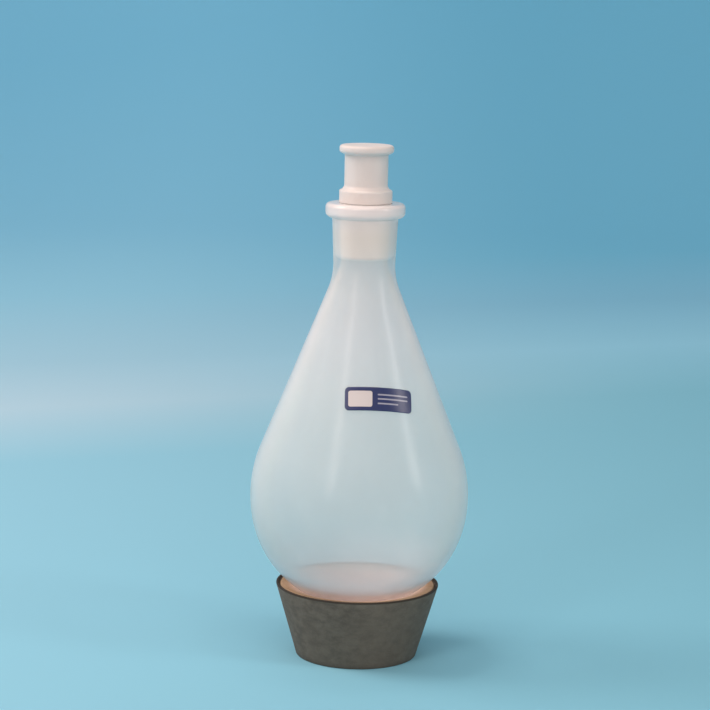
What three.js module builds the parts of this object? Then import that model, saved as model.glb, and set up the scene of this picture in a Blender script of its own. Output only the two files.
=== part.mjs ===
// A pear-shaped laboratory flask in translucent fluoropolymer, closed by a hollow taper stopper,
// standing in a tapered support made of a grey shell and a tan seat ring.
// Millimetres, +Z up. The origin is the centre of the support's foot, and -Y is the label's side.
import * as THREE from "three";

// ---- Driving dimensions ----

const SEGMENTS = 48; // facets round a turned piece
const GAP = 0.3; // clearance between pieces that rest on each other

// Taper joint 29/32: 29.2 mm across at its large end, 32 mm long, 1 in 10 on diameter.
const JOINT_RADIUS = 14.6;
const JOINT_LENGTH = 32;
const JOINT_TAPER = 0.05; // change of radius for each mm of height

// Flask: a round bowl, a fuller belt round the widest level, a straight cone, a fillet and a
// tapered neck. The belt's arc runs from the bowl, below the widest level, to the cone above it.
const MOUTH_Z = 260.8;
const BULB_RADIUS = 62.25;
const BELT_Z = 93.4; // height of the widest level
const BELT_ARC = 74.7;
const BELT_LOW = 12; // degrees below the widest level
const CONE_DEGREES = 22; // the cone's half angle, and the belt arc's end above the widest level
const NECK_RADIUS = 17.45; // outside, where the neck is narrowest
const NECK_FILLET = 38.7;
const NECK_FILLET_INSIDE = 16; // ends just below the socket
const NECK_TAPER = 0.042;
const WALL = 1.6;

// Collar at the mouth, moulded in one piece with the neck.
const COLLAR_RADIUS = 22.45;
const COLLAR_HEIGHT = 8.1;
const COLLAR_TOP_ROUND = 2.6;
const COLLAR_LOW_ROUND = 3.4;
const LIP_ROUND = 0.5;

// Stopper: plug, shoulder, grip barrel and top flange.
const PLUG_LENGTH = 30.5; // below the mouth
const PLUG_CHAMFER = 0.8;
const SHOULDER_RING_RADIUS = 14.9;
const SHOULDER_RING_HEIGHT = 6.8;
const GRIP_RADIUS = 12.2;
const GRIP_FILLET = 2.4;
const FLANGE_RADIUS = 15.25;
const FLANGE_HEIGHT = 5.1;
const FLANGE_ROUND = 1.7;
const STOPPER_TOP_Z = 293.3;
const STOPPER_WALL = 2.6;
const STOPPER_HOLLOW_TOP = 7; // solid material left under the top face

// Support: a tapered shell with a foot flange, and a seat ring hollowed to the bowl's shape.
const STAND_HEIGHT = 42;
const STAND_TOP_RADIUS = 46.8;
const STAND_FOOT_RADIUS = 34.5;
const SHELL_WALL = 1.6;
const FOOT_ROUND = 0.9;
const FOOT_FLANGE = 3;
const FOOT_HOLE_RADIUS = 22;
const SEAT_HOLE_RADIUS = 18;
const SEAT_DROP = 0.4; // the seat ring's edge lies this much below the shell's rim
const SEAT_SLOPE = THREE.MathUtils.degToRad(9); // of the ring's top face, down towards the bowl

// Label: a flat film laid on the cone, level where it first touches.
const LABEL_Z = 157;
const LABEL_TURN = THREE.MathUtils.degToRad(1.7); // from the front, towards +X
const LABEL_LEFT = 10.5;
const LABEL_RIGHT = 28.2;
const LABEL_HALF_HEIGHT = 6.6;
const LABEL_CORNER = 2.4;
const LABEL_THICKNESS = 0.25;
const LABEL_COLUMNS = 18;
const LABEL_ROWS = 5;

// The belt's arc is centred off the axis, and the bowl is a sphere that touches it at its low end.
const BELT_CENTRE = BULB_RADIUS - BELT_ARC;
const CONE_ANGLE = THREE.MathUtils.degToRad(CONE_DEGREES);
const BOWL_Z = BELT_Z + BELT_CENTRE * Math.tan(THREE.MathUtils.degToRad(BELT_LOW));
const BOWL_RADIUS = BELT_ARC + BELT_CENTRE / Math.cos(THREE.MathUtils.degToRad(BELT_LOW));

// ---- Helpers ----

const point = (radius, height) => new THREE.Vector2(radius, height);

// Points on an arc about (radius, height), from one angle to another, in degrees from +radius.
function arc(radius, height, size, from, to, steps) {
  return Array.from({ length: steps + 1 }, (_, i) => {
    const angle = THREE.MathUtils.degToRad(from + ((to - from) * i) / steps);
    return point(radius + size * Math.cos(angle), height + size * Math.sin(angle));
  });
}

// A mesh turned about Z from a profile of (radius, height) points.
function turned(name, profile, material) {
  const geometry = new THREE.LatheGeometry(profile, SEGMENTS).rotateX(Math.PI / 2);
  const mesh = new THREE.Mesh(geometry, material);
  mesh.name = name;
  return mesh;
}

const matte = (color, roughness) =>
  new THREE.MeshStandardMaterial({ color, roughness, metalness: 0 });

// Radius of the flask's tapered socket at a height.
const socketRadius = (height) => JOINT_RADIUS - JOINT_TAPER * (MOUTH_Z - height);

// ---- Flask ----

// The outside or inside of the bulb, from its bottom on the axis up to the end of the neck's fillet.
// inset is the wall thickness taken off, neck the radius that the fillet runs into, fillet its size.
function bulbProfile(inset, neck, fillet, steps) {
  const bowl = arc(0, BOWL_Z, BOWL_RADIUS - inset, -90, -BELT_LOW, steps);
  bowl[0].x = 0;
  const belt = (from, to, count) => arc(BELT_CENTRE, BELT_Z, BELT_ARC - inset, from, to, count);
  const beltTop = belt(0, CONE_DEGREES, steps / 3);
  const coneFoot = beltTop.at(-1);
  const coneTopRadius = neck + fillet * (1 - Math.cos(CONE_ANGLE));
  const coneRise = (coneFoot.x - coneTopRadius) / Math.tan(CONE_ANGLE);
  const filletZ = coneFoot.y + coneRise + fillet * Math.sin(CONE_ANGLE);
  return [
    ...bowl,
    ...belt(-BELT_LOW, 0, steps / 6).slice(1),
    ...beltTop.slice(1),
    ...arc(neck + fillet, filletZ, fillet, 180 + CONE_DEGREES, 180, steps / 3),
  ];
}

function flaskBody() {
  const socketFoot = point(socketRadius(MOUTH_Z - JOINT_LENGTH), MOUTH_Z - JOINT_LENGTH);
  const outside = bulbProfile(0, NECK_RADIUS, NECK_FILLET, 12);
  const inside = bulbProfile(WALL, socketFoot.x, NECK_FILLET_INSIDE, 12);
  const collarFoot = MOUTH_Z - COLLAR_HEIGHT;
  const neckTop = NECK_RADIUS + NECK_TAPER * (collarFoot - outside.at(-1).y);
  const lowRoundX = COLLAR_RADIUS - COLLAR_LOW_ROUND;
  const topRoundX = COLLAR_RADIUS - COLLAR_TOP_ROUND;
  const lipX = JOINT_RADIUS + LIP_ROUND;
  const profile = [
    ...outside,
    point(neckTop, collarFoot),
    ...arc(lowRoundX, collarFoot + COLLAR_LOW_ROUND, COLLAR_LOW_ROUND, -90, 0, 4),
    ...arc(topRoundX, MOUTH_Z - COLLAR_TOP_ROUND, COLLAR_TOP_ROUND, 0, 90, 3),
    ...arc(lipX, MOUTH_Z - LIP_ROUND, LIP_ROUND, 90, 180, 2),
    socketFoot,
    ...inside.reverse(),
  ];
  const translucent = matte(0xdfe6e6, 0.35);
  translucent.transparent = true;
  translucent.opacity = 0.6;
  return turned("flask_body", profile, translucent);
}

// ---- Stopper ----

function stopper() {
  const plugFoot = MOUTH_Z - PLUG_LENGTH;
  const plugRadius = (height) => socketRadius(height) - GAP;
  const ringFoot = MOUTH_Z + GAP;
  const ringTop = ringFoot + SHOULDER_RING_HEIGHT;
  const flangeFoot = STOPPER_TOP_Z - FLANGE_HEIGHT;
  const filletX = GRIP_RADIUS + GRIP_FILLET;
  const roundX = FLANGE_RADIUS - FLANGE_ROUND;
  const hollow = (height) => plugRadius(height) - STOPPER_WALL;
  const hollowTop = STOPPER_TOP_Z - STOPPER_HOLLOW_TOP;
  const hollowGrip = GRIP_RADIUS - STOPPER_WALL;
  const profile = [
    point(0, hollowTop),
    point(hollowGrip, hollowTop),
    point(hollowGrip, ringTop),
    point(hollow(plugFoot), plugFoot),
    point(plugRadius(plugFoot) - PLUG_CHAMFER, plugFoot),
    point(plugRadius(plugFoot + PLUG_CHAMFER), plugFoot + PLUG_CHAMFER),
    point(plugRadius(ringFoot), ringFoot),
    point(SHOULDER_RING_RADIUS, ringFoot),
    point(SHOULDER_RING_RADIUS, ringTop - (SHOULDER_RING_RADIUS - filletX)),
    ...arc(filletX, ringTop + GRIP_FILLET, GRIP_FILLET, 270, 180, 4),
    point(GRIP_RADIUS, flangeFoot - FLANGE_ROUND / 2),
    ...arc(roundX, flangeFoot + FLANGE_ROUND, FLANGE_ROUND, -60, 0, 2),
    ...arc(roundX, STOPPER_TOP_Z - FLANGE_ROUND, FLANGE_ROUND, 0, 90, 3),
    point(0, STOPPER_TOP_Z),
  ];
  return turned("stopper", profile, matte(0xf2eae6, 0.45));
}

// ---- Support ----

// Outside radius of the shell at a height.
const shellRadius = (height) =>
  STAND_FOOT_RADIUS + ((STAND_TOP_RADIUS - STAND_FOOT_RADIUS) * height) / STAND_HEIGHT;

function standShell() {
  const slope = Math.atan2(STAND_TOP_RADIUS - STAND_FOOT_RADIUS, STAND_HEIGHT);
  const wall = SHELL_WALL / Math.cos(slope);
  const profile = [
    point(FOOT_HOLE_RADIUS, 0),
    point(STAND_FOOT_RADIUS - FOOT_ROUND, 0),
    point(shellRadius(FOOT_ROUND), FOOT_ROUND),
    point(STAND_TOP_RADIUS, STAND_HEIGHT),
    point(STAND_TOP_RADIUS - wall, STAND_HEIGHT),
    point(shellRadius(FOOT_FLANGE) - wall, FOOT_FLANGE),
    point(FOOT_HOLE_RADIUS, FOOT_FLANGE),
    point(FOOT_HOLE_RADIUS, 0),
  ];
  return turned("stand_shell", profile, matte(0x5d5c55, 0.85));
}

function standSeat() {
  const slope = Math.atan2(STAND_TOP_RADIUS - STAND_FOOT_RADIUS, STAND_HEIGHT);
  const clearance = (SHELL_WALL + GAP) / Math.cos(slope);
  const foot = FOOT_FLANGE + GAP;
  const edgeZ = STAND_HEIGHT - SEAT_DROP;
  const edgeRadius = shellRadius(edgeZ) - clearance;
  // The hollow is a sphere about the flask's bowl, and its rim on the top face is found by halving.
  const bowl = BOWL_RADIUS + GAP;
  const topZ = (radius) => edgeZ - (edgeRadius - radius) * Math.tan(SEAT_SLOPE);
  const above = (radius) => Math.hypot(radius, BOWL_Z - topZ(radius)) > bowl;
  let inner = SEAT_HOLE_RADIUS;
  let outer = edgeRadius;
  for (let i = 0; i < 40; i += 1) {
    const middle = (inner + outer) / 2;
    if (above(middle)) outer = middle;
    else inner = middle;
  }
  const lipAngle = -THREE.MathUtils.radToDeg(Math.acos(outer / bowl));
  const holeAngle = -THREE.MathUtils.radToDeg(Math.acos(SEAT_HOLE_RADIUS / bowl));
  const profile = [
    point(SEAT_HOLE_RADIUS, foot),
    point(shellRadius(foot) - clearance, foot),
    point(edgeRadius, edgeZ),
    ...arc(0, BOWL_Z, bowl, lipAngle, holeAngle, 6),
    point(SEAT_HOLE_RADIUS, foot),
  ];
  return turned("stand_seat", profile, matte(0xc09468, 0.8));
}

// ---- Label ----

// A point of the film: u along it, v up it, lift off the cone's surface, as on a cone rolled flat.
function onCone(u, v, lift) {
  const footRadius = BELT_CENTRE + BELT_ARC * Math.cos(CONE_ANGLE);
  const footZ = BELT_Z + BELT_ARC * Math.sin(CONE_ANGLE);
  const apexZ = footZ + footRadius / Math.tan(CONE_ANGLE);
  const along = (apexZ - LABEL_Z) / Math.cos(CONE_ANGLE) - v;
  const distance = Math.hypot(u, along);
  const turn = LABEL_TURN + Math.atan2(u, along) / Math.sin(CONE_ANGLE);
  const radius = distance * Math.sin(CONE_ANGLE) + lift * Math.cos(CONE_ANGLE);
  const height = apexZ - distance * Math.cos(CONE_ANGLE) + lift * Math.sin(CONE_ANGLE);
  return [radius * Math.sin(turn), -radius * Math.cos(turn), height];
}

function label() {
  const length = LABEL_LEFT + LABEL_RIGHT;
  // Columns stand close together in the rounded corners, where the height changes.
  const columnU = (i) => (1 - Math.cos((Math.PI * i) / LABEL_COLUMNS)) * (length / 2);
  const halfHeight = (s) => {
    const inCorner = LABEL_CORNER - Math.min(s, length - s, LABEL_CORNER);
    return LABEL_HALF_HEIGHT - LABEL_CORNER + Math.sqrt(LABEL_CORNER ** 2 - inCorner ** 2);
  };
  const vertices = [];
  for (const lift of [GAP, GAP + LABEL_THICKNESS])
    for (let i = 0; i <= LABEL_COLUMNS; i += 1)
      for (let j = 0; j <= LABEL_ROWS; j += 1) {
        const s = columnU(i);
        const v = halfHeight(s) * ((2 * j) / LABEL_ROWS - 1);
        vertices.push(...onCone(s - LABEL_LEFT, v, lift));
      }
  const layer = (LABEL_COLUMNS + 1) * (LABEL_ROWS + 1);
  const at = (i, j, top) => (top ? layer : 0) + i * (LABEL_ROWS + 1) + j;
  const index = [];
  const quad = (a, b, c, d) => index.push(a, b, c, a, c, d);
  for (let i = 0; i < LABEL_COLUMNS; i += 1)
    for (let j = 0; j < LABEL_ROWS; j += 1) {
      quad(at(i, j, true), at(i + 1, j, true), at(i + 1, j + 1, true), at(i, j + 1, true));
      quad(at(i, j, false), at(i, j + 1, false), at(i + 1, j + 1, false), at(i + 1, j, false));
    }
  const low = 0;
  const high = LABEL_ROWS;
  for (let i = 0; i < LABEL_COLUMNS; i += 1) {
    quad(at(i, low, false), at(i + 1, low, false), at(i + 1, low, true), at(i, low, true));
    quad(at(i + 1, high, false), at(i, high, false), at(i, high, true), at(i + 1, high, true));
  }
  const last = LABEL_COLUMNS;
  for (let j = 0; j < LABEL_ROWS; j += 1) {
    quad(at(0, j + 1, false), at(0, j, false), at(0, j, true), at(0, j + 1, true));
    quad(at(last, j, false), at(last, j + 1, false), at(last, j + 1, true), at(last, j, true));
  }
  const geometry = new THREE.BufferGeometry();
  geometry.setAttribute("position", new THREE.Float32BufferAttribute(vertices, 3));
  geometry.setIndex(index);
  const mesh = new THREE.Mesh(geometry, matte(0x26386e, 0.4));
  mesh.name = "label";
  return mesh;
}

// ---- Assembly ----

const flask = new THREE.Group();
flask.add(standShell(), standSeat(), flaskBody(), stopper(), label());

export default flask;
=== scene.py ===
"""Looks for the pear-shaped laboratory flask, its stopper, its label and its support.

Metres and +Z up, in the frame of the CAD model: the support's foot is centred on the origin, and -Y is
the side with the label. Profiles are written in millimetres, as (radius, height).
"""
import math

import bmesh
import bpy
from mathutils import Matrix, Vector


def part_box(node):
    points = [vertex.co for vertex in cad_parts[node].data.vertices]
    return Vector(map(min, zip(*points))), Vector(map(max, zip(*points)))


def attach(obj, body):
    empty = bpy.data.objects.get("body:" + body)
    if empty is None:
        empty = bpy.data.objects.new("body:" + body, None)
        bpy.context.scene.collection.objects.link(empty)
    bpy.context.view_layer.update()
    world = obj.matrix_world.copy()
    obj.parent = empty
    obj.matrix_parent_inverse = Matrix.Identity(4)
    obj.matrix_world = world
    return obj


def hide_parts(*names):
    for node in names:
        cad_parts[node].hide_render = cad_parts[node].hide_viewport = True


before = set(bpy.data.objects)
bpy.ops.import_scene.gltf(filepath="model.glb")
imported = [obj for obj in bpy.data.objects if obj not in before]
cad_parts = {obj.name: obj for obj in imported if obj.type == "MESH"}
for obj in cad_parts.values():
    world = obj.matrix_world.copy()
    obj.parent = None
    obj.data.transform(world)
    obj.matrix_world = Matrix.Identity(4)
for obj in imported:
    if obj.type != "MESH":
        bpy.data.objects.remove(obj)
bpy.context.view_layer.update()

MM = 0.001

# ---- Sizes, in millimetres, as in the CAD model ----

SEGMENTS = 192

JOINT_RADIUS = 14.6
JOINT_LENGTH = 32.0
JOINT_TAPER = 0.05
GAP = 0.3

MOUTH_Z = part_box("flask_body")[1].z / MM
BULB_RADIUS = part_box("flask_body")[1].x / MM
BELT_Z = 93.4
BELT_ARC = 74.7
BELT_LOW = math.radians(12)
CONE_ANGLE = math.radians(22)
BELT_CENTRE = BULB_RADIUS - BELT_ARC
BOWL_Z = BELT_Z + BELT_CENTRE * math.tan(BELT_LOW)
BOWL_RADIUS = BELT_ARC + BELT_CENTRE / math.cos(BELT_LOW)
NECK_RADIUS = 17.45
NECK_FILLET = 38.7
NECK_FILLET_INSIDE = 16.0
NECK_TAPER = 0.042
WALL = 1.6
COLLAR_RADIUS = 22.45
COLLAR_HEIGHT = 8.1
COLLAR_UNDER = 3.1
COLLAR_ROUNDING = 2.6
MOUTH_ROUNDING = 0.7
MOUTH_EASE = 0.05
SOCKET_LEAD = 4

PLUG_LENGTH = 30.5
RING_RADIUS = 14.9
RING_HEIGHT = 6.8
GRIP_RADIUS = 12.2
FLANGE_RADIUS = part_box("stopper")[1].x / MM
FLANGE_HEIGHT = 5.1
TOP_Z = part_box("stopper")[1].z / MM
STOPPER_WALL = 2.6
STOPPER_TOP_WALL = 7.0
TURNING_PITCH = 0.45

STAND_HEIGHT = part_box("stand_shell")[1].z / MM
STAND_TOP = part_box("stand_shell")[1].x / MM
STAND_FOOT = 34.5
SHELL_WALL = 1.6
FOOT_FLANGE = 3.0
FOOT_HOLE = 22.0
# Heights of two extra rings round the shell.
SHELL_RINGS = (14, 28)
SEAT_HOLE = 18.0
SEAT_EDGE_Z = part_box("stand_seat")[1].z / MM
SEAT_SLOPE = math.radians(9)

LABEL_Z = 157.0
LABEL_TURN = math.radians(1.7)
LABEL_LEFT = 10.5
LABEL_RIGHT = 28.2
LABEL_HALF_HEIGHT = 6.6
LABEL_CORNER = 2.4
LABEL_THICKNESS = 0.25
LABEL_LIFT = 0.03
# The panel's left, right, low and high sides on the flat label.
PANEL = (1.9, 15.2, -4.5, 4.5)
PANEL_CORNER = 1.2
RULE_LEFT = 18.2
RULE_HALF_HEIGHT = 0.42
RULE_CORNER = 0.4
RULE_MARGIN = 2.6
LAST_RULE_MARGIN = 8.5
RULE_LEVELS = (2.6, 0.2, -2.4)

# ---- Profiles ----


def arc(radius, height, size, start, end, steps):
    """Points on an arc about (radius, height), from one angle to another, in radians from +radius."""
    angles = [start + (end - start) * i / steps for i in range(steps + 1)]
    return [(radius + size * math.cos(a), height + size * math.sin(a)) for a in angles]


def rounded(corners, closed=False, steps=7):
    """A profile from (radius, height, rounding) corners: each one with a rounding becomes an arc."""
    made = []
    count = len(corners)
    for i, (x, z, size) in enumerate(corners):
        inner = closed or 0 < i < count - 1
        if size <= 0 or not inner:
            made.append((x, z))
            continue
        here = Vector((x, z))
        before = Vector(corners[i - 1][:2]) - here
        after = Vector(corners[(i + 1) % count][:2]) - here
        half = before.angle(after) / 2
        reach = min(size / math.tan(half), before.length * 0.49, after.length * 0.49)
        start = here + before.normalized() * reach
        end = here + after.normalized() * reach
        for k in range(steps + 1):
            t = k / steps
            # The weight makes the quadratic curve between the two ends a circle's arc.
            w = math.sin(half)
            a, b, c = (1 - t) ** 2, 2 * w * t * (1 - t), t * t
            made.append(tuple((start * a + here * b + end * c) / (a + b + c)))
    return made


def socket_radius(height):
    """The taper joint's radius at a height."""
    return JOINT_RADIUS - JOINT_TAPER * (MOUTH_Z - height)


def bulb(inset, neck, size):
    """The bulb from its bottom on the axis to the end of the neck's fillet, outside or inside."""
    bowl = arc(0, BOWL_Z, BOWL_RADIUS - inset, -math.pi / 2, -BELT_LOW, 56)
    bowl[0] = (0.0, bowl[0][1])
    belt = arc(BELT_CENTRE, BELT_Z, BELT_ARC - inset, -BELT_LOW, 0, 12)[1:]
    belt += arc(BELT_CENTRE, BELT_Z, BELT_ARC - inset, 0, CONE_ANGLE, 20)[1:]
    foot_x, foot_z = belt[-1]
    top_x = neck + size * (1 - math.cos(CONE_ANGLE))
    rise = (foot_x - top_x) / math.tan(CONE_ANGLE)
    cone = [(foot_x + (top_x - foot_x) * i / 40, foot_z + rise * i / 40) for i in range(1, 40)]
    centre_z = foot_z + rise + size * math.sin(CONE_ANGLE)
    fillet = arc(neck + size, centre_z, size, math.pi + CONE_ANGLE, math.pi, 16)
    return bowl + belt + cone + fillet


def flask_profile():
    """Up the outside from the bottom on the axis, over the collar, and down the inside."""
    outside = bulb(0, NECK_RADIUS, NECK_FILLET)
    socket_foot = MOUTH_Z - JOINT_LENGTH
    inside = bulb(WALL, socket_radius(socket_foot), NECK_FILLET_INSIDE)
    collar_z = MOUTH_Z - COLLAR_HEIGHT
    neck_end = outside[-1]
    neck_top = NECK_RADIUS + NECK_TAPER * (collar_z - neck_end[1])
    neck = [
        (neck_end[0] + (neck_top - neck_end[0]) * i / 12, neck_end[1] + (collar_z - neck_end[1]) * i / 12)
        for i in range(1, 12)
    ]
    under = COLLAR_RADIUS - COLLAR_UNDER
    fillet = under - neck_top
    collar = arc(under, collar_z - fillet, fillet, math.pi, math.pi / 2, 4)
    collar += arc(under, collar_z + COLLAR_UNDER, COLLAR_UNDER, -math.pi / 2, 0, 12)[1:]
    collar += rounded([
        (*collar[-1], 0),
        (COLLAR_RADIUS, MOUTH_Z, COLLAR_ROUNDING),
        (JOINT_RADIUS + MOUTH_EASE, MOUTH_Z, MOUTH_ROUNDING),
        (socket_radius(MOUTH_Z - SOCKET_LEAD), MOUTH_Z - SOCKET_LEAD, 0),
    ], steps=10)[1:]
    depths = range(SOCKET_LEAD + 1, int(JOINT_LENGTH))
    socket = [(socket_radius(MOUTH_Z - depth), MOUTH_Z - depth) for depth in depths]
    return outside + neck + collar + socket + inside[::-1]


def stopper_profile():
    """From the hollow's top on the axis, down inside it, and up the outside to the flange."""
    plug_foot = MOUTH_Z - PLUG_LENGTH
    ring_foot = MOUTH_Z + GAP
    ring_top = ring_foot + RING_HEIGHT
    flange_foot = TOP_Z - FLANGE_HEIGHT
    plug = socket_radius(plug_foot) - GAP
    ring_plug = socket_radius(ring_foot) - GAP
    hollow_top = TOP_Z - STOPPER_TOP_WALL
    hollow_grip = GRIP_RADIUS - STOPPER_WALL
    return rounded([
        (0, hollow_top, 0),
        (hollow_grip, hollow_top, 1.5),
        (hollow_grip, ring_top, 6),
        (plug - STOPPER_WALL, plug_foot, 0.5),
        (plug, plug_foot, 1.0),
        (ring_plug, ring_foot - 0.1, 0.2),
        (RING_RADIUS, ring_foot, 0.25),
        (RING_RADIUS, ring_top, 0.8),
        (GRIP_RADIUS + 1.2, ring_top + 0.5, 1.2),
        (GRIP_RADIUS, ring_top + 2.4, 2.4),
        (GRIP_RADIUS, flange_foot - 0.2, 0.8),
        (FLANGE_RADIUS, flange_foot + 1.0, 1.8),
        (FLANGE_RADIUS, TOP_Z, 1.8),
        (FLANGE_RADIUS - 4, TOP_Z, 0),
        (0, TOP_Z, 0),
    ])


def shell_radius(height):
    """The support's outer radius at a height."""
    return STAND_FOOT + (STAND_TOP - STAND_FOOT) * height / STAND_HEIGHT


STAND_SLOPE = math.atan2(STAND_TOP - STAND_FOOT, STAND_HEIGHT)


def shell_profile():
    """The tapered wall and the foot flange, round which the profile closes on itself."""
    wall = SHELL_WALL / math.cos(STAND_SLOPE)
    return rounded([
        (FOOT_HOLE, 0, 0.5),
        (STAND_FOOT, 0, 1.0),
        *[(shell_radius(height), height, 0) for height in SHELL_RINGS],
        (STAND_TOP, STAND_HEIGHT, 0.6),
        (STAND_TOP - wall, STAND_HEIGHT, 0.6),
        (shell_radius(FOOT_FLANGE) - wall, FOOT_FLANGE, 1.0),
        (FOOT_HOLE, FOOT_FLANGE, 0.5),
    ], closed=True)


def seat_profile():
    """The ring between the shell's wall and the hole, hollowed to the flask's bowl."""
    clearance = (SHELL_WALL + GAP) / math.cos(STAND_SLOPE)
    foot = FOOT_FLANGE + GAP
    edge = shell_radius(SEAT_EDGE_Z) - clearance
    bowl = BOWL_RADIUS + GAP

    def top_z(radius):
        return SEAT_EDGE_Z - (edge - radius) * math.tan(SEAT_SLOPE)

    # The hollow meets the sloping top at a radius that is found by halving.
    inner, outer = SEAT_HOLE, edge
    for _ in range(40):
        middle = (inner + outer) / 2
        if math.hypot(middle, BOWL_Z - top_z(middle)) > bowl:
            outer = middle
        else:
            inner = middle
    lip, hole = -math.acos(outer / bowl), -math.acos(SEAT_HOLE / bowl)
    hollow = arc(0, BOWL_Z, bowl, lip, hole, 24)
    corners = [
        (SEAT_HOLE, foot, 0.6),
        (shell_radius(foot) - clearance, foot, 0.8),
        (edge, SEAT_EDGE_Z, 1.0),
        (*hollow[0], 1.2),
        *[(x, z, 0) for x, z in hollow[1:-1]],
        (*hollow[-1], 0.8),
    ]
    return rounded(corners, closed=True)


# ---- Meshes ----


def mesh_object(name, vertices, faces):
    """A closed, smooth-shaded mesh object with its faces pointing out."""
    mesh = bpy.data.meshes.new(name)
    mesh.from_pydata(vertices, [], faces)
    work = bmesh.new()
    work.from_mesh(mesh)
    bmesh.ops.remove_doubles(work, verts=work.verts, dist=1e-7)
    bmesh.ops.recalc_face_normals(work, faces=work.faces)
    work.to_mesh(mesh)
    work.free()
    mesh.shade_smooth()
    mesh.set_sharp_from_angle(angle=math.radians(40))
    made = bpy.data.objects.new(name, mesh)
    bpy.context.scene.collection.objects.link(made)
    return made


def turned(name, profile, closed):
    """A mesh turned about Z from a profile that ends on the axis, or closes on itself."""
    vertices, rings = [], []
    for radius, height in profile:
        if radius < 1e-6:
            rings.append([len(vertices)] * SEGMENTS)
            vertices.append((0, 0, height * MM))
            continue
        rings.append([len(vertices) + i for i in range(SEGMENTS)])
        for i in range(SEGMENTS):
            angle = 2 * math.pi * i / SEGMENTS
            vertices.append((radius * math.cos(angle) * MM, radius * math.sin(angle) * MM, height * MM))
    faces = []
    for a, b in zip(rings, rings[1:] + (rings[:1] if closed else [])):
        for i in range(SEGMENTS):
            j = (i + 1) % SEGMENTS
            face = list(dict.fromkeys((a[i], a[j], b[j], b[i])))
            if len(face) > 2:
                faces.append(face)
    return mesh_object(name, vertices, faces)


def mark_inside(piece, centre):
    """Marks with 1 each vertex that faces back towards the centre, as a hollow piece's inside does."""
    inner = [float(v.normal.dot(v.co - centre) < 0) for v in piece.data.vertices]
    piece.data.attributes.new("inside", "FLOAT", "POINT").data.foreach_set("value", inner)


def on_cone(u, v, lift):
    """A point of the label's film: u along it, v up it, lift off the flask's cone, in millimetres."""
    foot_x = BELT_CENTRE + BELT_ARC * math.cos(CONE_ANGLE)
    foot_z = BELT_Z + BELT_ARC * math.sin(CONE_ANGLE)
    apex_z = foot_z + foot_x / math.tan(CONE_ANGLE)
    along = (apex_z - LABEL_Z) / math.cos(CONE_ANGLE) - v
    distance = math.hypot(u, along)
    turn = LABEL_TURN + math.atan2(u, along) / math.sin(CONE_ANGLE)
    radius = distance * math.sin(CONE_ANGLE) + lift * math.cos(CONE_ANGLE)
    height = apex_z - distance * math.cos(CONE_ANGLE) + lift * math.sin(CONE_ANGLE)
    return (radius * math.sin(turn) * MM, -radius * math.cos(turn) * MM, height * MM)


def label_object(name, columns=120, rows=28):
    """The label's film, with its flat coordinates kept on the vertices for the print."""
    length = LABEL_LEFT + LABEL_RIGHT

    def half_height(s):
        into = LABEL_CORNER - min(s, length - s, LABEL_CORNER)
        return LABEL_HALF_HEIGHT - LABEL_CORNER + math.sqrt(max(LABEL_CORNER ** 2 - into ** 2, 0))

    points, flat = [], []
    # Three layers: the underside, the edge and the top face, which is drawn in a little to round its edge.
    layers = ((LABEL_LIFT, 0.0), (LABEL_THICKNESS * 0.8, 0.0), (LABEL_THICKNESS, 0.06))
    for lift, shrink in layers:
        for i in range(columns + 1):
            s = (1 - math.cos(math.pi * i / columns)) * length / 2
            for j in range(rows + 1):
                v = half_height(s) * (2 * j / rows - 1)
                grow_u = 1 - 2 * shrink / length
                grow_v = 1 - shrink / LABEL_HALF_HEIGHT
                points.append(on_cone((s - length / 2) * grow_u + length / 2 - LABEL_LEFT, v * grow_v, lift))
                flat.append((s, v))
    layer_size = (columns + 1) * (rows + 1)

    def at(i, j, level):
        return level * layer_size + i * (rows + 1) + j

    faces = []
    for i in range(columns):
        for j in range(rows):
            faces.append((at(i, j, 2), at(i + 1, j, 2), at(i + 1, j + 1, 2), at(i, j + 1, 2)))
            faces.append((at(i, j, 0), at(i, j + 1, 0), at(i + 1, j + 1, 0), at(i + 1, j, 0)))
    for level in (0, 1):
        for i in range(columns):
            faces.append((at(i, 0, level), at(i + 1, 0, level), at(i + 1, 0, level + 1), at(i, 0, level + 1)))
            faces.append((at(i + 1, rows, level), at(i, rows, level), at(i, rows, level + 1),
                          at(i + 1, rows, level + 1)))
        for j in range(rows):
            faces.append((at(0, j + 1, level), at(0, j, level), at(0, j, level + 1), at(0, j + 1, level + 1)))
            faces.append((at(columns, j, level), at(columns, j + 1, level), at(columns, j + 1, level + 1),
                          at(columns, j, level + 1)))
    mesh = bpy.data.meshes.new(name)
    mesh.from_pydata(points, [], faces)
    for key, index in (("label_u", 0), ("label_v", 1)):
        mesh.attributes.new(key, "FLOAT", "POINT").data.foreach_set("value", [p[index] for p in flat])
    mesh.shade_smooth()
    mesh.set_sharp_from_angle(angle=math.radians(50))
    made = bpy.data.objects.new(name, mesh)
    bpy.context.scene.collection.objects.link(made)
    return made


# ---- Materials ----


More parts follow.
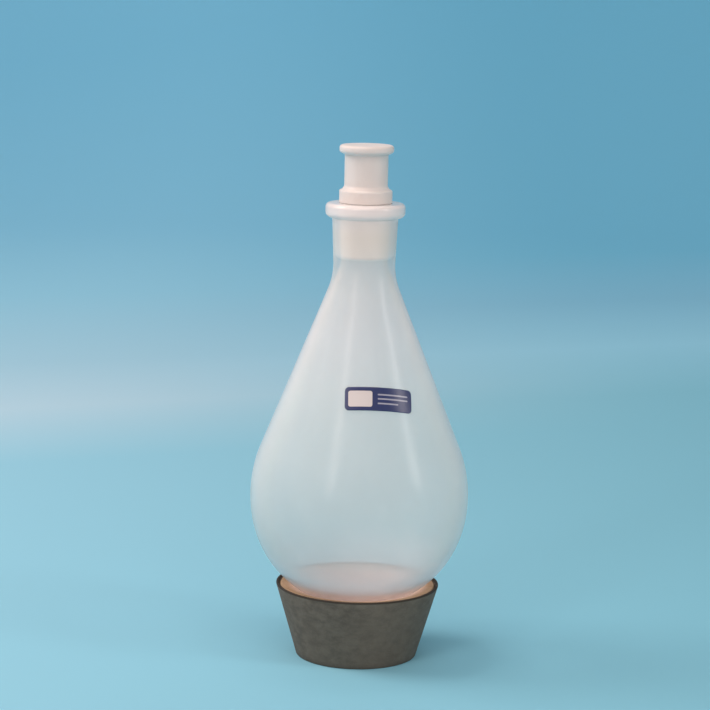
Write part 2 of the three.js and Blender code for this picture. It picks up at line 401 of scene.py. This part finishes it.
class Surface:
    """A material's node tree, with short calls for the nodes used here."""

    def __init__(self, name):
        self.material = bpy.data.materials.new(name)
        self.material.use_nodes = True
        self.tree = self.material.node_tree
        self.tree.nodes.clear()
        output = self.tree.nodes.new("ShaderNodeOutputMaterial")
        self.shader = self.tree.nodes.new("ShaderNodeBsdfPrincipled")
        self.link(self.shader.outputs[0], output.inputs["Surface"])
        self.place = self.tree.nodes.new("ShaderNodeTexCoord").outputs["Object"]

    def link(self, source, target):
        self.tree.links.new(source, target)

    def put(self, target, value):
        if hasattr(value, "is_output"):
            self.link(value, target)
        else:
            target.default_value = value

    def node(self, kind, **settings):
        made = self.tree.nodes.new(kind)
        for key, value in settings.items():
            setattr(made, key, value)
        return made

    def set(self, **values):
        for key, value in values.items():
            self.put(self.shader.inputs[key.replace("_", " ")], value)

    def math(self, operation, a, b=0.0, clamp=False):
        made = self.node("ShaderNodeMath", operation=operation, use_clamp=clamp)
        for socket, value in zip(made.inputs, (a, b)):
            self.put(socket, value)
        return made.outputs[0]

    def noise(self, scale, detail, roughness=0.5, stretch=(1, 1, 1)):
        mapping = self.node("ShaderNodeMapping")
        self.link(self.place, mapping.inputs["Vector"])
        mapping.inputs["Scale"].default_value = stretch
        made = self.node("ShaderNodeTexNoise")
        self.link(mapping.outputs[0], made.inputs["Vector"])
        for key, value in (("Scale", scale), ("Detail", detail), ("Roughness", roughness)):
            made.inputs[key].default_value = value
        return made.outputs[0]

    def cells(self, scale, randomness, feature="F1"):
        made = self.node("ShaderNodeTexVoronoi", feature=feature)
        self.link(self.place, made.inputs["Vector"])
        made.inputs["Scale"].default_value = scale
        made.inputs["Randomness"].default_value = randomness
        return made

    def ramp(self, value, low, high, out_low=0.0, out_high=1.0):
        made = self.node("ShaderNodeMapRange", clamp=True, interpolation_type="SMOOTHSTEP")
        for socket, number in zip(made.inputs, (value, low, high, out_low, out_high)):
            self.put(socket, number)
        return made.outputs[0]

    def mix(self, factor, a, b):
        made = self.node("ShaderNodeMix", data_type="RGBA", blend_type="MIX")
        self.put(made.inputs["Factor"], factor)
        self.put(made.inputs["A"], a)
        self.put(made.inputs["B"], b)
        return made.outputs["Result"]

    def stops(self, value, colours):
        made = self.node("ShaderNodeValToRGB")
        elements = made.color_ramp.elements
        while len(elements) < len(colours):
            elements.new(0.5)
        for element, (position, shade) in zip(elements, colours):
            element.position, element.color = position, shade
        self.link(value, made.inputs[0])
        return made.outputs["Color"]

    def bump(self, height, strength, distance):
        made = self.node("ShaderNodeBump")
        made.inputs["Strength"].default_value = strength
        made.inputs["Distance"].default_value = distance
        self.link(height, made.inputs["Height"])
        self.link(made.outputs[0], self.shader.inputs["Normal"])

    def height(self):
        """The height in the frame, in metres."""
        split = self.node("ShaderNodeSeparateXYZ")
        self.link(self.place, split.inputs[0])
        return split.outputs["Z"]

    def radius(self):
        """The distance from the frame's Z axis, in metres."""
        flat = self.node("ShaderNodeVectorMath", operation="MULTIPLY")
        self.link(self.place, flat.inputs[0])
        flat.inputs[1].default_value = (1, 1, 0)
        reach = self.node("ShaderNodeVectorMath", operation="LENGTH")
        self.link(flat.outputs[0], reach.inputs[0])
        return reach.outputs["Value"]


def colour(red, green, blue):
    return (red, green, blue, 1.0)


# The flask's alpha where its wall faces the view, edge on and in the collar, the share of the collar's
# that the socket has, and the share that light from a lamp is let off.
HAZE_FACING = 0.36
HAZE_EDGE_ON = 0.86
HAZE_COLLAR = 0.85
SOCKET_SHARE = 0.85
LAMP_LIGHT_PASSED = 0.5


def translucent_plastic():
    """Milky fluoropolymer: part of the light goes straight through and the rest is scattered."""
    s = Surface("flask_plastic")
    # Less shows through where more plastic lies in the way: seen edge on, in the socket and in the collar.
    edge = s.node("ShaderNodeLayerWeight")
    edge.inputs["Blend"].default_value = 0.5
    haze = s.ramp(edge.outputs["Facing"], 0.25, 1.0, HAZE_FACING, HAZE_EDGE_ON)
    collar_foot = MOUTH_Z - COLLAR_HEIGHT
    socket_foot = MOUTH_Z - JOINT_LENGTH
    collar = s.ramp(s.height(), (collar_foot - 0.8) * MM, (collar_foot + 0.8) * MM)
    socket = s.ramp(s.height(), (socket_foot - 2) * MM, (socket_foot + 4) * MM)
    thick = s.math("MAXIMUM", collar, s.math("MULTIPLY", socket, SOCKET_SHARE))
    alpha = s.math("MAXIMUM", haze, s.math("MULTIPLY", thick, HAZE_COLLAR))
    # Light that the real plastic scatters onwards still reaches what is behind it.
    lamp_ray = s.node("ShaderNodeLightPath").outputs["Is Shadow Ray"]
    passed = s.math("SUBTRACT", 1.0, s.math("MULTIPLY", lamp_ray, LAMP_LIGHT_PASSED))
    # Painted light by height: the wall is painted warmer over the seat for the seat's light coming through,
    # darker and cooler low on the bulb as painted shade, and cream round the plug where it shows through the
    # neck.
    up = s.math("DIVIDE", s.height(), MOUTH_Z * MM)
    base = s.stops(up, [
        (0.14, colour(0.9, 0.8, 0.8)), (0.25, colour(0.72, 0.785, 0.78)), (0.4, colour(0.8, 0.87, 0.87)),
        (0.55, colour(0.88, 0.93, 0.92)), (0.72, colour(0.965, 0.955, 0.94)), (0.93, colour(0.9, 0.88, 0.83)),
        (0.985, colour(0.96, 0.93, 0.92)),
    ])
    cloud = s.noise(22, detail=4, roughness=0.6)
    base = s.mix(s.ramp(cloud, 0.3, 0.7, 0.03, 0.0), base, colour(0.0, 0.0, 0.0))
    bottom = s.ramp(up, 0.18, 0.25, 1.0, 0.0)
    dense = s.math("MAXIMUM", thick, bottom)
    # Only the outside is smooth enough to shine.
    inside = s.node("ShaderNodeAttribute", attribute_name="inside").outputs["Fac"]
    s.set(
        Base_Color=base,
        Roughness=s.ramp(s.noise(60, detail=5), 0.3, 0.7, 0.3, 0.38),
        IOR=1.06,
        Transmission_Weight=s.math("SUBTRACT", 0.3, s.math("MULTIPLY", dense, 0.22)),
        Alpha=s.math("MULTIPLY", alpha, passed),
        Coat_Weight=s.math("SUBTRACT", 1.0, inside),
        Coat_Roughness=0.2,
        Coat_IOR=1.5,
    )
    s.bump(s.noise(34, detail=2, stretch=(1, 1, 0.6)), 0.12, 0.0006)
    return s.material


def white_plastic():
    """Dense white fluoropolymer, turned: waxy, with faint rings from the tool."""
    s = Surface("stopper_plastic")
    cloud = s.noise(70, detail=4)
    s.set(
        Base_Color=s.mix(s.ramp(cloud, 0.3, 0.7), colour(0.75, 0.72, 0.695), colour(0.785, 0.76, 0.735)),
        Roughness=s.ramp(s.noise(260, detail=4), 0.3, 0.7, 0.4, 0.52),
        IOR=1.38,
        Subsurface_Weight=0.25,
        Subsurface_Radius=(0.004, 0.0036, 0.0032),
        Subsurface_Scale=0.6,
    )
    rings = s.math("SINE", s.math("MULTIPLY", s.height(), 2 * math.pi / (TURNING_PITCH * MM)))
    s.bump(s.math("ADD", s.math("MULTIPLY", rings, 0.3), s.noise(500, detail=3)), 0.12, 0.00008)
    return s.material


def label_print():
    """Navy film with a white write-on panel and pale rules, all generic."""
    s = Surface("label_print")
    u = s.node("ShaderNodeAttribute", attribute_name="label_u").outputs["Fac"]
    v = s.node("ShaderNodeAttribute", attribute_name="label_v").outputs["Fac"]

    def box(left, right, low, high, corner, soft):
        """1 inside a rounded rectangle of the flat label, in its millimetres, with a soft edge."""
        dx = s.math("SUBTRACT", s.math("ABSOLUTE", s.math("SUBTRACT", u, (left + right) / 2)),
                    (right - left) / 2 - corner)
        dy = s.math("SUBTRACT", s.math("ABSOLUTE", s.math("SUBTRACT", v, (low + high) / 2)),
                    (high - low) / 2 - corner)
        dx, dy = s.math("MAXIMUM", dx, 0.0), s.math("MAXIMUM", dy, 0.0)
        reach = s.math("SQRT", s.math("ADD", s.math("MULTIPLY", dx, dx), s.math("MULTIPLY", dy, dy)))
        return s.ramp(reach, corner - soft, corner + soft, 1.0, 0.0)

    length = LABEL_LEFT + LABEL_RIGHT
    panel = box(*PANEL, PANEL_CORNER, 0.08)
    rules = 0.0
    for level, margin in zip(RULE_LEVELS, (RULE_MARGIN, RULE_MARGIN, LAST_RULE_MARGIN)):
        low, high = level - RULE_HALF_HEIGHT, level + RULE_HALF_HEIGHT
        rules = s.math("MAXIMUM", rules, box(RULE_LEFT, length - margin, low, high, RULE_CORNER, 0.1))
    navy = s.mix(s.noise(400, detail=3), colour(0.022, 0.036, 0.125), colour(0.03, 0.048, 0.155))
    printed = s.mix(s.math("MULTIPLY", rules, 0.62), navy, colour(0.62, 0.63, 0.72))
    s.set(
        Base_Color=s.mix(panel, printed, colour(0.72, 0.68, 0.67)),
        Roughness=s.mix(panel, colour(0.32, 0.32, 0.32), colour(0.55, 0.55, 0.55)),
        IOR=1.5,
        Coat_Weight=0.15,
        Coat_Roughness=0.2,
    )
    s.bump(s.math("ADD", s.math("MULTIPLY", s.noise(1400, detail=2), 0.4), s.math("MULTIPLY", panel, -0.3)),
           0.2, 0.00006)
    return s.material


def matte_shell():
    """Matte grey-brown moulding with a mottled, slightly gritty face, a darker rim and a painted contact
    shadow round the foot.
    """
    s = Surface("shell_matte")
    mottle = s.noise(170, detail=6, roughness=0.66, stretch=(1, 1, 1.5))
    patches = s.noise(14, detail=3, roughness=0.5)
    grit = s.noise(1300, detail=2)
    base = s.mix(s.ramp(mottle, 0.3, 0.7), colour(0.118, 0.096, 0.074), colour(0.193, 0.161, 0.127))
    base = s.mix(s.ramp(patches, 0.35, 0.7, 0.0, 0.5), base, colour(0.15, 0.12, 0.091))
    base = s.mix(s.ramp(grit, 0.62, 0.75, 0.0, 0.35), base, colour(0.26, 0.23, 0.2))
    height = s.height()
    # Painted shadow: the lowest 4 mm are darkened as the contact shadow where the foot meets the floor.
    painted_foot_shadow = s.ramp(height, 0.0, 0.004, 0.35, 0.0)
    base = s.mix(painted_foot_shadow, base, colour(0.07, 0.062, 0.052))
    rim = s.ramp(height, (STAND_HEIGHT - 1.3) * MM, (STAND_HEIGHT - 0.5) * MM)
    base = s.mix(s.math("MULTIPLY", rim, 0.95), base, colour(0.04, 0.031, 0.023))
    s.set(
        Base_Color=base,
        Roughness=s.ramp(mottle, 0.3, 0.7, 0.72, 0.86),
        IOR=1.45,
        Specular_IOR_Level=0.35,
    )
    s.bump(s.math("ADD", s.math("MULTIPLY", grit, 0.5), mottle), 0.35, 0.00025)
    return s.material


def cork():
    """Pressed cork: pale tan grains of a few sizes with fine dark gaps."""
    s = Surface("seat_cork")
    grains = s.cells(420, 0.95)
    gaps = s.cells(420, 0.95, feature="DISTANCE_TO_EDGE").outputs["Distance"]
    tone = s.node("ShaderNodeSeparateColor")
    s.link(grains.outputs["Color"], tone.inputs[0])
    speck = s.noise(1500, detail=3)
    base = s.mix(tone.outputs[0], colour(0.38, 0.25, 0.145), colour(0.46, 0.32, 0.2))
    base = s.mix(s.ramp(speck, 0.6, 0.75, 0.0, 0.4), base, colour(0.3, 0.18, 0.1))
    base = s.mix(s.ramp(gaps, 0.0, 0.07, 0.28, 0.0), base, colour(0.22, 0.13, 0.075))
    base = s.mix(s.ramp(s.noise(18, detail=2), 0.3, 0.7, 0.0, 0.25), base, colour(0.66, 0.5, 0.36))
    # Painted light: the hollow is painted paler, for the light that the milky flask passes onto it.
    painted_hollow_light = s.ramp(s.radius(), 0.035, 0.042, 0.85, 0.0)
    base = s.mix(painted_hollow_light, base, colour(0.8, 0.645, 0.56))
    s.set(
        Base_Color=base,
        Roughness=s.ramp(speck, 0.3, 0.7, 0.7, 0.85),
        IOR=1.4,
        Specular_IOR_Level=0.3,
    )
    s.bump(s.math("ADD", s.math("MULTIPLY", speck, 0.35), s.ramp(gaps, 0.0, 0.1)), 0.3, 0.0002)
    return s.material


def backdrop_paper():
    """Pale blue paper with painted light: a painted paler band where it starts to curve up, painted shade
    that darkens it further back and on the +X side, and neutral behind the camera.
    """
    s = Surface("backdrop")
    split = s.node("ShaderNodeSeparateXYZ")
    s.link(s.place, split.inputs[0])
    across, back = split.outputs["X"], split.outputs["Y"]
    reach = s.math("DIVIDE", s.math("SUBTRACT", back, s.math("MULTIPLY", across, 0.4)), 3.0, clamp=True)
    # Painted light: a paler painted band where the lamps light the bend, and painted shade further back; the
    # left-hand ramp is the brighter, as lit by the key on the left.
    left = s.stops(reach, [
        (0.0, colour(0.29, 0.63, 0.79)), (0.2, colour(0.3, 0.63, 0.79)), (0.28, colour(0.46, 0.7, 0.83)),
        (0.36, colour(0.37, 0.65, 0.8)), (0.52, colour(0.3, 0.64, 0.82)), (1.0, colour(0.2, 0.55, 0.77)),
    ])
    right = s.stops(reach, [
        (0.0, colour(0.23, 0.56, 0.7)), (0.25, colour(0.23, 0.56, 0.7)), (0.34, colour(0.29, 0.63, 0.8)),
        (0.45, colour(0.22, 0.52, 0.7)), (0.6, colour(0.17, 0.5, 0.69)), (1.0, colour(0.15, 0.47, 0.67)),
    ])
    # Painted shade: from the brighter left-hand ramp to the darker right-hand one across X, away from the
    # key.
    paper = s.mix(s.ramp(across, -0.35, 0.35), left, right)
    paper = s.mix(s.ramp(back, -0.24, -0.6), paper, colour(0.6, 0.58, 0.56))
    s.set(Base_Color=paper, Roughness=0.9, Specular_IOR_Level=0.1)
    return s.material


# ---- Pieces ----


def place(made, body, node, material):
    """Gives a mesh its material, and puts it on its body in place of the CAD node."""
    made.data.materials.append(material)
    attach(made, body)
    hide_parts(node)


bulb_mesh = turned("flask_bulb", flask_profile(), closed=False)
mark_inside(bulb_mesh, Vector((0, 0, BELT_Z * MM)))
place(bulb_mesh, "flask", "flask_body", translucent_plastic())
place(turned("stopper_turned", stopper_profile(), closed=False), "stopper", "stopper", white_plastic())
place(label_object("label_film"), "flask", "label", label_print())
place(turned("support_shell", shell_profile(), closed=True), "support", "stand_shell", matte_shell())
place(turned("support_seat", seat_profile(), closed=True), "support", "stand_seat", cork())

# ---- Stage, lights and camera ----

# Metres, watts and degrees.
WARM = (1.0, 0.83, 0.77)
ROSY = (1.0, 0.7, 0.67)
DAYLIGHT = (0.93, 0.86, 0.83)
FLOOR_RADIUS = 2.1
WALL_BEND = 1.4
WALL_TOP = 2.6
CAMERA_AT = (-0.0041, -1.3411, 0.3986)
CAMERA_DOWN = 9.5
CAMERA_ROLL = 1.25
CAMERA_LENS = 121.7


def backdrop():
    """A wide round floor that curves up into a wall all round, open at the top."""
    segments = 96
    profile = [(FLOOR_RADIUS * i / 10, 0.0) for i in range(11)]
    for i in range(1, 21):
        turn = math.pi / 2 * i / 20
        profile.append((FLOOR_RADIUS + WALL_BEND * math.sin(turn), WALL_BEND - WALL_BEND * math.cos(turn)))
    profile.append((FLOOR_RADIUS + WALL_BEND, WALL_TOP))
    vertices, faces = [(0, 0, 0)], []
    for radius, height in profile[1:]:
        for i in range(segments):
            angle = 2 * math.pi * i / segments
            vertices.append((radius * math.cos(angle), radius * math.sin(angle), height))
    for i in range(segments):
        faces.append((0, 1 + i, 1 + (i + 1) % segments))
    for k in range(len(profile) - 2):
        for i in range(segments):
            a, b = 1 + k * segments + i, 1 + k * segments + (i + 1) % segments
            faces.append((a, a + segments, b + segments, b))
    mesh = bpy.data.meshes.new("backdrop")
    mesh.from_pydata(vertices, [], faces)
    mesh.shade_smooth()
    mesh.materials.append(backdrop_paper())
    made = bpy.data.objects.new("backdrop", mesh)
    bpy.context.scene.collection.objects.link(made)


def softbox(name, azimuth, elevation, distance, width, height, power, target=(0, 0, 0.15), tint=WARM):
    """A rectangular light that faces a target. Azimuth runs from the camera's side towards +X."""
    a, e = math.radians(azimuth), math.radians(elevation)
    way = Vector((math.sin(a) * math.cos(e), -math.cos(a) * math.cos(e), math.sin(e)))
    data = bpy.data.lights.new(name, "AREA")
    data.shape = "RECTANGLE"
    data.size, data.size_y = width, height
    data.energy = power
    data.color = tint
    lamp = bpy.data.objects.new(name, data)
    bpy.context.scene.collection.objects.link(lamp)
    lamp.matrix_world = (Matrix.Translation(Vector(target) + way * distance)
                         @ way.to_track_quat("Z", "Y").to_matrix().to_4x4())
    lamp.visible_camera = False
    return lamp


backdrop()
softbox("key_left", -96, 42, 1.9, 0.9, 0.9, 23.5)
softbox("front_high", 0, 56, 1.8, 1.4, 1.0, 10.5)
softbox("front_left", -31, 25, 1.75, 0.2, 1.2, 5.5)
softbox("window_right", 65, 25, 1.8, 0.28, 1.2, 8.5, tint=DAYLIGHT)
softbox("wall_wash", 0, 62, 2.0, 3.0, 0.8, 28, target=(0, 2.8, 0.4))
low_fill = softbox("low_fill", -14, 6, 1.9, 2.6, 0.3, 3.2, target=(0, 0, 0.06), tint=ROSY)
low_fill.visible_glossy = False

world = bpy.data.worlds.new("studio")
world.use_nodes = True
sky = world.node_tree.nodes["Background"]
sky.inputs["Color"].default_value = (*WARM, 1.0)
sky.inputs["Strength"].default_value = 0.22
bpy.context.scene.world = world

camera = bpy.data.objects.new("camera", bpy.data.cameras.new("camera"))
bpy.context.scene.collection.objects.link(camera)
camera.data.sensor_width = 36.0
camera.data.lens = CAMERA_LENS
camera.data.clip_start, camera.data.clip_end = 0.05, 50.0
camera.matrix_world = (
    Matrix.Translation(CAMERA_AT)
    @ Matrix.Rotation(math.radians(90 - CAMERA_DOWN), 4, "X")
    @ Matrix.Rotation(math.radians(CAMERA_ROLL), 4, "Z")
)
bpy.context.scene.camera = camera
bpy.context.scene.view_settings.view_transform = "Standard"
